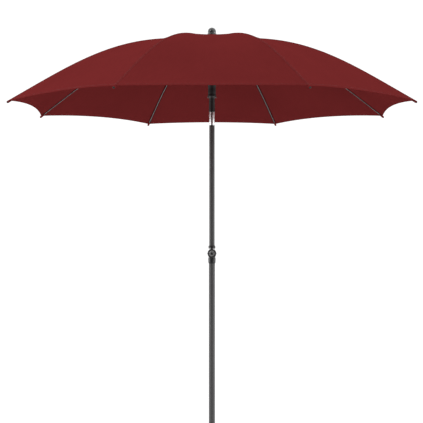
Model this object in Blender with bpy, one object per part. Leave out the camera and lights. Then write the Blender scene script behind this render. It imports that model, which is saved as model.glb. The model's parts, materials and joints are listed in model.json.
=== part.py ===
"""Garden parasol: a round tilting canopy on eight curved ribs, carried by a two-part pole.

Metres, +Z up. The origin is the centre of the pole's bottom end, the pole stands on the Z axis
and the clamp knob faces -Y. It is modelled open, straight and at full height.
Ribs, stretchers and canopy gores are numbered anticlockwise seen from above, from 22.5 degrees.
"""

import math

import bmesh
import bpy
from mathutils import Matrix, Vector

GAP = 0.0003  # clearance between pieces that touch on the real object

# Canopy: outer fabric surface over a rib, as a height at each distance from the pole's axis
RIB_COUNT = 8
STRAIGHT_FROM = 0.837  # past this radius the ribs run straight
END_SLOPE = 0.625  # fall per metre of radius on the straight stretch
CROWN_Z = 2.104
CLOTH = 0.0016
CLOTH_START = 0.034
HEM_RADIUS = 0.9185
SCALLOP = 0.018  # how far the hem curves in between two ribs
CURVED_STEPS = 10
CLOTH_COLUMNS = 3  # on each side of a rib
SEAM_SHARE = 0.0027  # of a half panel, left open between two gores
PATCH_RADIUS = 0.058

# Ribs and the pieces on them
RIB_ROD = 0.0025
RIB_BELOW_CLOTH = 0.0050
EYE_RADIUS = 0.0042
EYE_HOLE = 0.0016
EYE_THICK = 0.0044
HUB_PIVOT_R = 0.0225
TIP_CAP_R = 0.0042
TIP_CAP_BORE = 0.0030
TIP_CAP_LENGTH = 0.0160
BRACKET_SEGMENT = 5  # the straight stretch of rib that carries the stretcher bracket
BRACKET_LENGTH = 0.016
BRACKET_HALF_WIDTH = 0.0047
BRACKET_TOP = 0.0015
BRACKET_FLOOR = -0.0075
BRACKET_BOTTOM = -0.0150
PIVOT_DROP = 0.0115
EAR_GAP = 0.0038
PIN_RADIUS = 0.0013
PIN_INSET = 0.0010
CHANNEL_RADIUS = 0.0030
EAR_HALF_LENGTH = 0.0050
EAR_TOP = -0.0065

# Stretchers
STRETCHER_ROD = 0.0023
STRETCHER_EYE_R = 0.0036
TAB_THICK = 0.0030
TAB_LENGTH = 0.014
TAB_HALF_HEIGHT = 0.0021
EYE_OVERLAP = 0.0025  # how far a rod starts from the middle of its eye

# Hub and wire ring
HUB_RADIUS = 0.029
HUB_TOP = 2.1015
HUB_BOTTOM = 2.080
HUB_CORE = 0.0176
RING_WIRE = 0.0011
SLOT_WIDTH = 0.0058
STUD_HOLE = 0.0044

# Finial
FINIAL_BASE = 2.1062
FINIAL_TOP = 2.161
FINIAL_BALL = 0.0195
FINIAL_SKIRT_R = 0.0218
FINIAL_SKIRT_TOP = 2.1345
FINIAL_SKIRT_EDGE = 0.0025
STUD_RADIUS = 0.0040
STUD_END = 2.0968

# Head column: tube, tilt knuckle and its sleeve, all on the pole's axis
TOP_TUBE_R = 0.0130
TOP_TUBE_BORE = 0.0118
TOP_TUBE_TOP = 2.095
TILT_Z = 1.745
KNUCKLE_R = 0.0122
KNUCKLE_BOTTOM = 1.7105
KNUCKLE_PLUG_R = 0.0110
KNUCKLE_PLUG_BOTTOM = 1.6850
KNUCKLE_TOP = 1.7712
KNUCKLE_SLOT = 0.0040
KNUCKLE_SLOT_FLOOR = 1.7335
TONGUE_THICK = 0.0032
TONGUE_HALF = 0.0100
TONGUE_COLLAR_BOTTOM = 1.7717
TONGUE_COLLAR_TOP = 1.7745
TONGUE_PLUG_R = 0.0114
TONGUE_PLUG_TOP = 1.805
TILT_PIN_R = 0.0030
TILT_HOLE_R = 0.0034
TILT_PIN_HALF = 0.0112
RELIEF_CORNERS = [(0.0045, 0.0262), (0.0145, 0.0220), (0.0145, 0.0320), (0.0045, 0.0320)]
SLEEVE_R = 0.0140
SLEEVE_BORE = 0.0133
SLEEVE_BOTTOM = 1.7725
SLEEVE_TOP = 1.8365

# Runner and the two catches that hold it up
RUNNER_BORE = 0.0144
RUNNER_GRIP = 0.0193
RUNNER_WAIST = 0.0172
RUNNER_BOTTOM = 1.8435
RUNNER_LIP_TOP = 1.850
RUNNER_WAIST_BOTTOM = 1.858
RUNNER_WAIST_TOP = 1.885
RUNNER_FLANGE_R = 0.031
RUNNER_FLANGE_BOTTOM = 1.893
RUNNER_FLANGE_TOP = 1.917
RUNNER_TOP = 1.930
RUNNER_CORE = 0.0205
RUNNER_PIVOT_R = 0.0245
RUNNER_PIVOT_Z = 1.905
CATCH_BOTTOM = 1.8375
CATCH_TOP = 1.8425
CATCH_OUT = 0.0218
CATCH_IN = 0.0085
CATCH_LEG = 0.0012
CATCH_LEG_TOP = 1.870
CATCH_HALF_WIDTH = 0.0030
WINDOW_MARGIN = 0.0005

# Pole
UPPER_R = 0.0125
UPPER_BORE = 0.0113
UPPER_BOTTOM = 0.9535
LOWER_R = 0.0140
LOWER_BORE = 0.0128
LOWER_TOP = 1.112
BUSH_R = 0.0125
BUSH_BORE = 0.0085
BUSH_BOTTOM = 0.925
BUSH_PLUG_R = 0.0110
BUSH_PLUG_TOP = 0.975
FOOT_FLANGE = 0.0040
FOOT_PLUG_R = 0.0125
FOOT_PLUG_TOP = 0.030

# Height clamp
CLAMP_BOTTOM = 1.075
CLAMP_RING_TOP = 1.100
CLAMP_COLLAR_BOTTOM = 1.144
CLAMP_TOP = 1.1575
CLAMP_RING_R = 0.0172
CLAMP_SHOULDER_R = 0.0160
CLAMP_SHOULDER_TOP = 1.114
CLAMP_NECK_R = 0.0142
CLAMP_COLLAR_R = 0.0162
CLAMP_LOWER_BORE = 0.0143
CLAMP_UPPER_BORE = 0.0129
CLAMP_STEP_Z = 1.1125
KNOB_Z = 1.123
BOSS_R = 0.0095
BOSS_FRONT = -0.0235
BOSS_ROUND = 20
NUT_FLAT = 0.0065  # from the nut's centre to a flat
NUT_BACK = -0.0152
NUT_FRONT = -0.0208
SCREW_R = 0.0040
SCREW_HOLE = 0.0044
SCREW_TIP = -0.0129
SCREW_HEAD = -0.0360
KNOB_R = 0.0210
KNOB_LOBES = 8
KNOB_LOBE_DEPTH = 0.0011
KNOB_BACK = -0.0245
KNOB_FRONT = -0.0410
KNOB_BORE_END = -0.0365

ROUND = 24  # sides of the pole's round pieces
RING_ROUND = 32  # sides of the hub, its ring and the runner
SMALL_ROUND = 10
EYE_ROUND = 12
BAR_SIDES = 6
REACH = 0.02  # how far a cutter runs past what it cuts
STEP = 0.001  # a small chamfer or overlap

FINISHES = {  # base colour, roughness and metallic value
    "cloth": ((0.170, 0.017, 0.019), 0.85, 0.0),
    "rib_fibreglass": ((0.230, 0.220, 0.225), 0.45, 0.0),
    "black_plastic": ((0.012, 0.012, 0.013), 0.45, 0.0),
    "gloss_plastic": ((0.030, 0.031, 0.033), 0.18, 0.0),
    "anthracite_paint": ((0.060, 0.062, 0.066), 0.42, 0.3),
    "chrome": ((0.820, 0.830, 0.840), 0.08, 1.0),
    "zinc_steel": ((0.560, 0.560, 0.550), 0.32, 1.0),
}


# --- the canopy's form -------------------------------------------------------------------


def fall(radius):
    """How far the fabric over a rib lies below the crown at this radius."""
    curved = min(radius, STRAIGHT_FROM)
    period = math.pi / STRAIGHT_FROM
    bend = END_SLOPE * (curved / 2 - math.sin(period * curved) / (2 * period))
    return bend + END_SLOPE * (radius - curved)


def stations():
    """Radii at which ribs and fabric have a corner, from the hub to the hem."""
    step = (STRAIGHT_FROM - CLOTH_START) / CURVED_STEPS
    return [CLOTH_START + i * step for i in range(CURVED_STEPS + 1)] + [HEM_RADIUS]


def rib_height(radius):
    return CROWN_Z - fall(radius) - RIB_BELOW_CLOTH


def on_rib(radius):
    """A point of a rib's centreline in the rib's own plane, X outwards."""
    return Vector((radius, 0, rib_height(radius)))


def cloth_point(radius, side, below):
    """A point of the fabric. side is 0 on the rib and -1 or 1 midway to the next one."""
    half = math.pi / RIB_COUNT
    across = abs(side)
    inwards = math.sin(half) ** 2
    sideways = math.sin(2 * half) / 2
    x = radius * (1 - inwards * across)
    y = radius * sideways * side
    return Vector((x, y, CROWN_Z - fall(radius) - below))


def hem(side):
    """Where the scalloped hem crosses this line of the fabric."""
    return HEM_RADIUS - SCALLOP * (1 - (1 - abs(side)) ** 2)


# --- the folding linkage -----------------------------------------------------------------


def hub_pivot():
    return Vector((HUB_PIVOT_R, 0, rib_height(CLOTH_START)))


def bracket_frame():
    """Middle of the bracket's stretch of rib, and the direction of that stretch."""
    inner, outer = stations()[BRACKET_SEGMENT - 1 : BRACKET_SEGMENT + 1]
    start = on_rib(inner)
    end = on_rib(outer)
    return (start + end) / 2, (end - start).normalized()


def stretcher_pivot():
    middle, along = bracket_frame()
    down = Vector((along.z, 0, -along.x))
    return middle + PIVOT_DROP * down


def stretcher_run():
    """The line from the stretcher's pivot on the rib to its pivot on the runner."""
    return Vector((RUNNER_PIVOT_R, 0, RUNNER_PIVOT_Z)) - stretcher_pivot()


# --- modelling helpers -------------------------------------------------------------------


def finish(name):
    """The finish's material, made once."""
    if name in bpy.data.materials:
        return bpy.data.materials[name]
    colour, roughness, metallic = FINISHES[name]
    material = bpy.data.materials.new(name)
    material.use_nodes = True
    shader = material.node_tree.nodes["Principled BSDF"]
    shader.inputs["Base Color"].default_value = (*colour, 1)
    shader.inputs["Roughness"].default_value = roughness
    shader.inputs["Metallic"].default_value = metallic
    return material


def add(name, mesh, look, matrix=None, parent=None):
    """One named object of the parasol."""
    piece = bpy.data.objects.new(name, mesh)
    bpy.context.scene.collection.objects.link(piece)
    if not mesh.materials:
        mesh.materials.append(finish(look))
    piece.parent = parent
    piece.matrix_local = matrix or Matrix()
    return piece


def closed(bm, name):
    """A bmesh as a mesh with its faces pointing out and its round faces smooth."""
    bmesh.ops.remove_doubles(bm, verts=bm.verts, dist=1e-6)
    bmesh.ops.recalc_face_normals(bm, faces=bm.faces)
    mesh = bpy.data.meshes.new(name)
    bm.to_mesh(mesh)
    bm.free()
    mesh.shade_smooth()
    mesh.set_sharp_from_angle(angle=math.radians(35))
    return mesh


def turned(name, outline, sides=ROUND, loop=True):
    """A piece turned about Z from an outline of (radius, height) points."""
    bm = bmesh.new()
    verts = [bm.verts.new((radius, 0, height)) for radius, height in outline]
    ends = verts[1:] + verts[:1] if loop else verts[1:]
    edges = [bm.edges.new(pair) for pair in zip(verts, ends)]
    bmesh.ops.spin(
        bm,
        geom=verts + edges,
        axis=(0, 0, 1),
        cent=(0, 0, 0),
        angle=2 * math.pi,
        steps=sides,
        use_merge=False,
    )
    return closed(bm, name)


def tube(name, outer, bore, bottom, top, sides=ROUND):
    """A plain round tube on the Z axis."""
    return turned(name, [(bore, bottom), (outer, bottom), (outer, top), (bore, top)], sides)


def rod(name, radius, path, sides=BAR_SIDES):
    """A round bar along points in the XZ plane, with flat ends."""
    bm = bmesh.new()
    rings = []
    for i, point in enumerate(path):
        before = path[max(i - 1, 0)]
        after = path[min(i + 1, len(path) - 1)]
        along = (after - before).normalized()
        up = Vector((-along.z, 0, along.x))
        turns = [2 * math.pi * (k + 0.5) / sides for k in range(sides)]
        ring = [
            bm.verts.new(point + radius * (math.cos(t) * up + math.sin(t) * Vector((0, 1, 0))))
            for t in turns
        ]
        rings.append(ring)
    for ring, following in zip(rings, rings[1:]):
        for k in range(sides):
            n = (k + 1) % sides
            bm.faces.new((ring[k], ring[n], following[n], following[k]))
    bm.faces.new(rings[0])
    bm.faces.new(rings[-1])
    return closed(bm, name)


def block(name, low, high):
    """A box from its lowest to its highest corner."""
    bm = bmesh.new()
    bmesh.ops.create_cube(bm, size=1)
    size = Vector(high) - Vector(low)
    bmesh.ops.scale(bm, vec=size, verts=bm.verts)
    bmesh.ops.translate(bm, vec=Vector(low) + size / 2, verts=bm.verts)
    return closed(bm, name)


def along_axis(mesh, axis, at=(0, 0, 0)):
    """Turns a mesh made about Z to lie about this axis, and moves it."""
    turn = Vector((0, 0, 1)).rotation_difference(Vector(axis)).to_matrix().to_4x4()
    mesh.transform(Matrix.Translation(at) @ turn)
    return mesh


def combined(name, first, others, operation):
    """A mesh with others joined to it (UNION) or taken out of it (DIFFERENCE)."""
    scene = bpy.context.scene.collection.objects
    base = bpy.data.objects.new(name, first)
    scene.link(base)
    tools = []
    for mesh in others:
        tool = bpy.data.objects.new("tool", mesh)
        scene.link(tool)
        tools.append(tool)
        step = base.modifiers.new("step", "BOOLEAN")
        step.operation = operation
        step.solver = "EXACT"
        step.object = tool
    result = base.evaluated_get(bpy.context.evaluated_depsgraph_get())
    mesh = bpy.data.meshes.new_from_object(result)
    for used in [base, *tools]:
        bpy.data.objects.remove(used)
    bm = bmesh.new()
    bm.from_mesh(mesh)
    return closed(bm, name)


def joined(name, *meshes):
    return combined(name, meshes[0], meshes[1:], "UNION")


def cut(name, mesh, *tools):
    return combined(name, mesh, tools, "DIFFERENCE")


def slots(inner, bottom, top):
    """Cutters for the radial slots that hold rib or stretcher eyes."""
    cutters = []
    for i in range(RIB_COUNT):
        half = SLOT_WIDTH / 2
        cutter = block("slot", (inner, -half, bottom), (inner + REACH, half, top))
        cutter.transform(Matrix.Rotation(azimuth(i), 4, "Z"))
        cutters.append(cutter)
    return cutters


def azimuth(i):
    return 2 * math.pi * (i + 0.5) / RIB_COUNT


# --- pole --------------------------------------------------------------------------------


def pole():
    foot = [
        (0, 0),
        (LOWER_R, 0),
        (LOWER_R, FOOT_FLANGE),
        (FOOT_PLUG_R, FOOT_FLANGE),
        (FOOT_PLUG_R, FOOT_PLUG_TOP),
        (0, FOOT_PLUG_TOP),
    ]
    lower_bottom = FOOT_FLANGE + GAP
    bush = [
        (BUSH_BORE, BUSH_BOTTOM),
        (BUSH_R, BUSH_BOTTOM),
        (BUSH_R, UPPER_BOTTOM - GAP),
        (BUSH_PLUG_R, UPPER_BOTTOM - GAP),
        (BUSH_PLUG_R, BUSH_PLUG_TOP),
        (BUSH_BORE, BUSH_PLUG_TOP),
    ]
    lower = tube("lower_tube", LOWER_R, LOWER_BORE, lower_bottom, LOWER_TOP)
    upper = tube("upper_tube", UPPER_R, UPPER_BORE, UPPER_BOTTOM, KNUCKLE_BOTTOM)
    add("foot_cap", turned("foot_cap", foot, loop=False), "black_plastic")
    add("lower_tube", lower, "anthracite_paint")
    add("guide_bush", turned("guide_bush", bush), "black_plastic")
    add("upper_tube", upper, "anthracite_paint")


def clamp():
    outline = [
        (0, CLAMP_BOTTOM),
        (CLAMP_RING_R, CLAMP_BOTTOM),
        (CLAMP_RING_R, CLAMP_RING_TOP),
        (CLAMP_SHOULDER_R, CLAMP_RING_TOP + 2 * STEP),
        (CLAMP_SHOULDER_R, CLAMP_SHOULDER_TOP),
        (CLAMP_NECK_R, CLAMP_SHOULDER_TOP + 2 * STEP),
        (CLAMP_NECK_R, CLAMP_COLLAR_BOTTOM - 2 * STEP),
        (CLAMP_COLLAR_R, CLAMP_COLLAR_BOTTOM),
        (CLAMP_COLLAR_R, CLAMP_TOP - STEP),
        (CLAMP_COLLAR_R - STEP, CLAMP_TOP),
        (0, CLAMP_TOP),
    ]
    bore = [
        (0, CLAMP_BOTTOM - REACH),
        (CLAMP_LOWER_BORE, CLAMP_BOTTOM - REACH),
        (CLAMP_LOWER_BORE, CLAMP_STEP_Z),
        (CLAMP_UPPER_BORE, CLAMP_STEP_Z),
        (CLAMP_UPPER_BORE, CLAMP_TOP + REACH),
        (0, CLAMP_TOP + REACH),
    ]
    out = (0, -1, 0)
    at = (0, 0, KNOB_Z)
    boss = turned("boss", cylinder(BOSS_R, 0, -BOSS_FRONT), BOSS_ROUND, loop=False)
    hole = turned("hole", cylinder(SCREW_HOLE, 0, REACH - BOSS_FRONT), SMALL_ROUND, loop=False)
    pocket = hexagon("pocket", NUT_FLAT + GAP, -NUT_BACK - GAP, -NUT_FRONT + GAP)
    body = joined("clamp_body", turned("clamp", outline, loop=False), along_axis(boss, out, at))
    body = cut("clamp_body", body, turned("bore", bore, loop=False))
    body = cut("clamp_body", body, along_axis(hole, out, at), along_axis(pocket, out, at))
    add("clamp_body", body, "gloss_plastic")

    nut = hexagon("nut", NUT_FLAT, -NUT_BACK, -NUT_FRONT)
    bore = turned("bore", cylinder(SCREW_HOLE, 0, REACH - NUT_FRONT), SMALL_ROUND, loop=False)
    nut = along_axis(cut("clamp_nut", nut, bore), out, at)
    add("clamp_nut", nut, "zinc_steel")

    screw = turned("screw", cylinder(SCREW_R, -SCREW_TIP, -SCREW_HEAD), SMALL_ROUND, loop=False)
    add("clamp_screw", along_axis(screw, out), "zinc_steel", Matrix.Translation(at))
    add("clamp_knob", along_axis(knob_mesh(), out), "gloss_plastic", Matrix.Translation(at))


def cylinder(radius, bottom, top):
    """Outline of a plain solid cylinder."""
    return [(0, bottom), (radius, bottom), (radius, top), (0, top)]


def hexagon(name, flat, bottom, top):
    corner = flat / math.cos(math.pi / 6)
    return turned(name, cylinder(corner, bottom, top), 6, loop=False)


def knob_mesh():
    """A lobed round knob about Z with a blind bore for the screw."""
    back = -KNOB_BACK
    front = -KNOB_FRONT
    levels = [(0.80, back), (1.0, back + 0.003), (1.0, front - 0.004), (0.86, front - 0.0008)]
    sides = KNOB_LOBES * 4
    bm = bmesh.new()
    rings = []
    for scale, height in levels:
        ring = []
        for k in range(sides):
            turn = 2 * math.pi * k / sides
            radius = scale * (KNOB_R - KNOB_LOBE_DEPTH * (1 - math.cos(KNOB_LOBES * turn)) / 2)
            ring.append(bm.verts.new((radius * math.cos(turn), radius * math.sin(turn), height)))
        rings.append(ring)
    for ring, following in zip(rings, rings[1:]):
        for k in range(sides):
            n = (k + 1) % sides
            bm.faces.new((ring[k], ring[n], following[n], following[k]))
    bm.faces.new(rings[0])
    bm.faces.new(rings[-1])
    body = closed(bm, "knob")
    bore = turned("bore", cylinder(SCREW_HOLE, 0, -KNOB_BORE_END), SMALL_ROUND, loop=False)
    return cut("clamp_knob", body, bore)


# --- tilt knuckle ------------------------------------------------------------------------


def knuckle():
    outline = [
        (0, KNUCKLE_PLUG_BOTTOM),
        (KNUCKLE_PLUG_R, KNUCKLE_PLUG_BOTTOM),
        (KNUCKLE_PLUG_R, KNUCKLE_BOTTOM + GAP),
        (KNUCKLE_R, KNUCKLE_BOTTOM + GAP),
        (KNUCKLE_R, KNUCKLE_TOP),
        (0, KNUCKLE_TOP),
    ]
    half = KNUCKLE_SLOT / 2
    slot = block("slot", (-half, -REACH, KNUCKLE_SLOT_FLOOR), (half, REACH, KNUCKLE_TOP + REACH))
    hole = turned("hole", cylinder(TILT_HOLE_R, -REACH, REACH), SMALL_ROUND, loop=False)
    pivot = Matrix.Translation((0, 0, TILT_Z))
    fork = cut(
        "tilt_fork",
        turned("fork", outline, loop=False),
        slot,
        along_axis(hole, (1, 0, 0), (0, 0, TILT_Z)),
        swing_relief(),
    )
    add("tilt_fork", fork, "chrome")
    shank = cylinder(TILT_PIN_R, -TILT_PIN_HALF, TILT_PIN_HALF)
    pin = turned("tilt_pin", shank, SMALL_ROUND, loop=False)
    add("tilt_pin", along_axis(pin, (1, 0, 0)), "zinc_steel", pivot)


def swing_relief():
    """Wedge taken off the fork's rear top edge, where the head swings down."""
    bm = bmesh.new()
    left = [bm.verts.new((-REACH, y, TILT_Z + z)) for y, z in RELIEF_CORNERS]
    right = [bm.verts.new((REACH, y, TILT_Z + z)) for y, z in RELIEF_CORNERS]
    for k in range(4):
        n = (k + 1) % 4
        bm.faces.new((left[k], left[n], right[n], right[k]))
    bm.faces.new(left)
    bm.faces.new(right)
    return closed(bm, "relief")


def tongue():
    """The head's half of the knuckle: plate, collar and the plug in the top tube."""
    outline = [
        (0, TONGUE_COLLAR_BOTTOM),
        (KNUCKLE_R, TONGUE_COLLAR_BOTTOM),
        (KNUCKLE_R, TONGUE_COLLAR_TOP),
        (TONGUE_PLUG_R, TONGUE_COLLAR_TOP),
        (TONGUE_PLUG_R, TONGUE_PLUG_TOP),
        (0, TONGUE_PLUG_TOP),
    ]
    half = TONGUE_THICK / 2
    plate = block(
        "plate",
        (-half, -TONGUE_HALF, TILT_Z),
        (half, TONGUE_HALF, TONGUE_COLLAR_BOTTOM + STEP),
    )
    lobe = turned("lobe", cylinder(TONGUE_HALF, -half, half), loop=False)
    hole = turned("hole", cylinder(TILT_HOLE_R, -REACH, REACH), SMALL_ROUND, loop=False)
    at = (0, 0, TILT_Z)
    body = joined("tilt_tongue", turned("plug", outline, loop=False), plate)
    body = joined("tilt_tongue", body, along_axis(lobe, (1, 0, 0), at))
    return cut("tilt_tongue", body, along_axis(hole, (1, 0, 0), at))


# --- head --------------------------------------------------------------------------------


def head_origin(name):
    """The head turns about the knuckle's pin, so its empty stands there."""
    empty = bpy.data.objects.new(name, None)
    bpy.context.scene.collection.objects.link(empty)
    empty.location = (0, 0, TILT_Z)
    return empty


def hub_mesh():
    groove = RING_WIRE + GAP
    outline = [
        (TOP_TUBE_R + GAP, HUB_BOTTOM),
        (HUB_RADIUS - 2 * STEP, HUB_BOTTOM),
        (HUB_RADIUS, HUB_BOTTOM + 2 * STEP),
        (HUB_RADIUS, HUB_TOP),
        (HUB_PIVOT_R + groove, HUB_TOP),
        (HUB_PIVOT_R + groove, hub_pivot().z - groove),
        (HUB_PIVOT_R - groove, hub_pivot().z - groove),
        (HUB_PIVOT_R - groove, HUB_TOP),
        (STUD_HOLE, HUB_TOP),
        (STUD_HOLE, TOP_TUBE_TOP + GAP),
        (TOP_TUBE_R + GAP, TOP_TUBE_TOP + GAP),
    ]
    cutters = slots(HUB_CORE, HUB_BOTTOM - REACH, HUB_TOP + REACH)
    return cut("hub", turned("hub", outline, RING_ROUND), *cutters)


def ring_mesh():
    sides = 6
    outline = [
        (
            HUB_PIVOT_R + RING_WIRE * math.cos(2 * math.pi * k / sides),
            hub_pivot().z + RING_WIRE * math.sin(2 * math.pi * k / sides),
        )
        for k in range(sides)
    ]
    return turned("hub_ring", outline, RING_ROUND)


def patch_mesh():
    """The round reinforcing patch that lies on the canopy's crown."""
    radii = [STUD_HOLE + 2 * STEP, PATCH_RADIUS / 2, PATCH_RADIUS]
    under = [(r, CROWN_Z - fall(r) + GAP) for r in radii]
    over = [(r, z + CLOTH) for r, z in under]
    return turned("top_patch", under + over[::-1])


def finial_mesh():
    """A ball on a round skirt, with the stud that screws into the hub."""
    centre = FINIAL_TOP - FINIAL_BALL
    start = math.asin((FINIAL_SKIRT_TOP - centre) / FINIAL_BALL)
    steps = 8
    turns = [start + (math.pi / 2 - start) * k / steps for k in range(steps)]
    edge = FINIAL_SKIRT_EDGE
    outline = [
        (0, STUD_END),
        (STUD_RADIUS, STUD_END),
        (STUD_RADIUS, FINIAL_BASE),
        (FINIAL_SKIRT_R - edge, FINIAL_BASE),
        (FINIAL_SKIRT_R, FINIAL_BASE + edge),
        (FINIAL_SKIRT_R, FINIAL_SKIRT_TOP - edge),
        (FINIAL_SKIRT_R - edge, FINIAL_SKIRT_TOP),
        *[(FINIAL_BALL * math.cos(t), centre + FINIAL_BALL * math.sin(t)) for t in turns],
        (0, FINIAL_TOP),
    ]
    return turned("finial", outline, loop=False)


def top_tube_mesh():
    body = tube("top_tube", TOP_TUBE_R, TOP_TUBE_BORE, TONGUE_COLLAR_TOP + GAP, TOP_TUBE_TOP)
    wide = CATCH_HALF_WIDTH + WINDOW_MARGIN
    bottom = CATCH_BOTTOM - WINDOW_MARGIN
    top = CATCH_TOP + WINDOW_MARGIN
    inner = TOP_TUBE_BORE - 2 * STEP
    left = block("window", (-REACH, -wide, bottom), (-inner, wide, top))
    right = block("window", (inner, -wide, bottom), (REACH, wide, top))
    return cut("top_tube", body, left, right)


def head():
    origin = head_origin("head_origin")
    local = Matrix.Translation((0, 0, -TILT_Z))
    add("tilt_tongue", tongue(), "chrome", local, origin)
    add("top_tube", top_tube_mesh(), "anthracite_paint", local, origin)
    add("hub", hub_mesh(), "black_plastic", local, origin)
    add("hub_ring", ring_mesh(), "zinc_steel", local, origin)
    add("top_patch", patch_mesh(), "cloth", local, origin)
    add("finial", finial_mesh(), "gloss_plastic", local, origin)
    sleeve = tube("tilt_sleeve", SLEEVE_R, SLEEVE_BORE, SLEEVE_BOTTOM, SLEEVE_TOP)
    add("tilt_sleeve", sleeve, "black_plastic", local, origin)
    add("runner", runner_mesh(), "black_plastic", local, origin)
    for name, turn in (("catch_right", 0), ("catch_left", math.pi)):
        add(name, catch_mesh(name), "zinc_steel", local @ Matrix.Rotation(turn, 4, "Z"), origin)
    return origin


def runner_mesh():
    outline = [
        (RUNNER_BORE, RUNNER_BOTTOM),
        (RUNNER_GRIP - STEP, RUNNER_BOTTOM),
        (RUNNER_GRIP, RUNNER_BOTTOM + STEP),
        (RUNNER_GRIP, RUNNER_LIP_TOP),
        (RUNNER_WAIST, RUNNER_WAIST_BOTTOM),
        (RUNNER_WAIST, RUNNER_WAIST_TOP),
        (RUNNER_GRIP - GAP, RUNNER_FLANGE_BOTTOM),
        (RUNNER_FLANGE_R, RUNNER_FLANGE_BOTTOM),
        (RUNNER_FLANGE_R, RUNNER_FLANGE_TOP),
        (RUNNER_GRIP - STEP, RUNNER_FLANGE_TOP),
        (RUNNER_WAIST, RUNNER_TOP),
        (RUNNER_BORE, RUNNER_TOP),
    ]
    bottom = RUNNER_FLANGE_BOTTOM - 2 * STEP
    cutters = slots(RUNNER_CORE, bottom, RUNNER_FLANGE_TOP + 2 * STEP)
    return cut("runner", turned("runner", outline, RING_ROUND), *cutters)


def catch_mesh(name):
    """One bent arm of the spring clip that the runner rests on, here on the +X side."""
    wide = CATCH_HALF_WIDTH
    profile = [
        (CATCH_IN, CATCH_BOTTOM),
        (CATCH_OUT - STEP, CATCH_BOTTOM),
        (CATCH_OUT, CATCH_BOTTOM + STEP),
        (CATCH_OUT, CATCH_TOP - STEP / 2),
        (CATCH_OUT - STEP / 2, CATCH_TOP),
        (CATCH_IN + CATCH_LEG, CATCH_TOP),
        (CATCH_IN + CATCH_LEG, CATCH_LEG_TOP),
        (CATCH_IN, CATCH_LEG_TOP),
    ]
    bm = bmesh.new()
    front = [bm.verts.new((x, -wide, z)) for x, z in profile]
    back = [bm.verts.new((x, wide, z)) for x, z in profile]
    for k in range(len(profile)):
        n = (k + 1) % len(profile)
        bm.faces.new((front[k], front[n], back[n], back[k]))
    bm.faces.new(front)
    bm.faces.new(back)
    return closed(bm, name)


# --- ribs, stretchers and canopy ---------------------------------------------------------


def eye_mesh(radius, hole, thick):
    """A flat round eye about Y."""
    half = thick / 2
    body = tube("eye", radius, hole, -half, half, EYE_ROUND)
    return along_axis(body, (0, 1, 0))


def rib_mesh():
    """A curved rod with a moulded eye, in its own plane, about its hub pivot."""
    pivot = hub_pivot()
    start = Vector((HUB_PIVOT_R + EYE_OVERLAP, 0, pivot.z))
    end = on_rib(HEM_RADIUS) + end_direction() * (TIP_CAP_LENGTH / 2)
    path = [start, *[on_rib(r) for r in stations()], end]
    bar = rod("bar", RIB_ROD, [point - pivot for point in path])
    return joined("rib", eye_mesh(EYE_RADIUS, EYE_HOLE, EYE_THICK), bar)


def end_direction():
    return Vector((1, 0, -END_SLOPE)).normalized()


def tip_cap_mesh():
    """The blind cap on a rib's end, about Z from its open end."""
    dome = 4
    turns = [math.pi / 2 * k / dome for k in range(1, dome)]
    straight = TIP_CAP_LENGTH - TIP_CAP_R
    outline = [
        (0, TIP_CAP_LENGTH * 0.6),
        (TIP_CAP_BORE, TIP_CAP_LENGTH * 0.6),
        (TIP_CAP_BORE, 0),
        (TIP_CAP_R, 0),
        (TIP_CAP_R, straight),
        *[(TIP_CAP_R * math.cos(t), straight + TIP_CAP_R * math.sin(t)) for t in turns],
        (0, TIP_CAP_LENGTH),
    ]
    return turned("rib_tip", outline, SMALL_ROUND, loop=False)


def bracket_mesh():
    """A saddle clipped on the rib from below, with two ears and the stretcher's pin.

    Its own X runs along the rib, and its Z points away from the rib's hollow side.
    """
    half = BRACKET_LENGTH / 2
    wide = BRACKET_HALF_WIDTH
    saddle = block("saddle", (-half, -wide, BRACKET_FLOOR), (half, wide, BRACKET_TOP))
    channel = turned("channel", cylinder(CHANNEL_RADIUS, -REACH, REACH), SMALL_ROUND, loop=False)
    saddle = cut("saddle", saddle, along_axis(channel, (1, 0, 0)))
    ears = []
    for low, high in ((-wide, -EAR_GAP / 2), (EAR_GAP / 2, wide)):
        start = (-EAR_HALF_LENGTH, low, BRACKET_BOTTOM)
        ears.append(block("ear", start, (EAR_HALF_LENGTH, high, EAR_TOP)))
    shank = cylinder(PIN_RADIUS, PIN_INSET - wide, wide - PIN_INSET)
    pin = turned("pin", shank, SMALL_ROUND, loop=False)
    pin = along_axis(pin, (0, 1, 0), (0, 0, -PIVOT_DROP))
    return joined("rib_bracket", saddle, *ears, pin)


def stretcher_mesh():
    """A rod from the bracket's pin, at the origin, to the runner, along +X."""
    length = stretcher_run().length
    tab_half = TAB_THICK / 2
    outer = eye_mesh(STRETCHER_EYE_R, PIN_RADIUS + GAP, TAB_THICK)
    inner = eye_mesh(STRETCHER_EYE_R, PIN_RADIUS, SLOT_WIDTH - 2 * STEP)
    inner.transform(Matrix.Translation((length, 0, 0)))
    corner = Vector((TAB_LENGTH, tab_half, TAB_HALF_HEIGHT))
    tab = block("tab", (EYE_OVERLAP, -tab_half, -TAB_HALF_HEIGHT), corner)
    ends = [Vector((TAB_LENGTH - 3 * STEP, 0, 0)), Vector((length - EYE_OVERLAP, 0, 0))]
    return joined("stretcher", outer, tab, rod("bar", STRETCHER_ROD, ends), inner)


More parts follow.
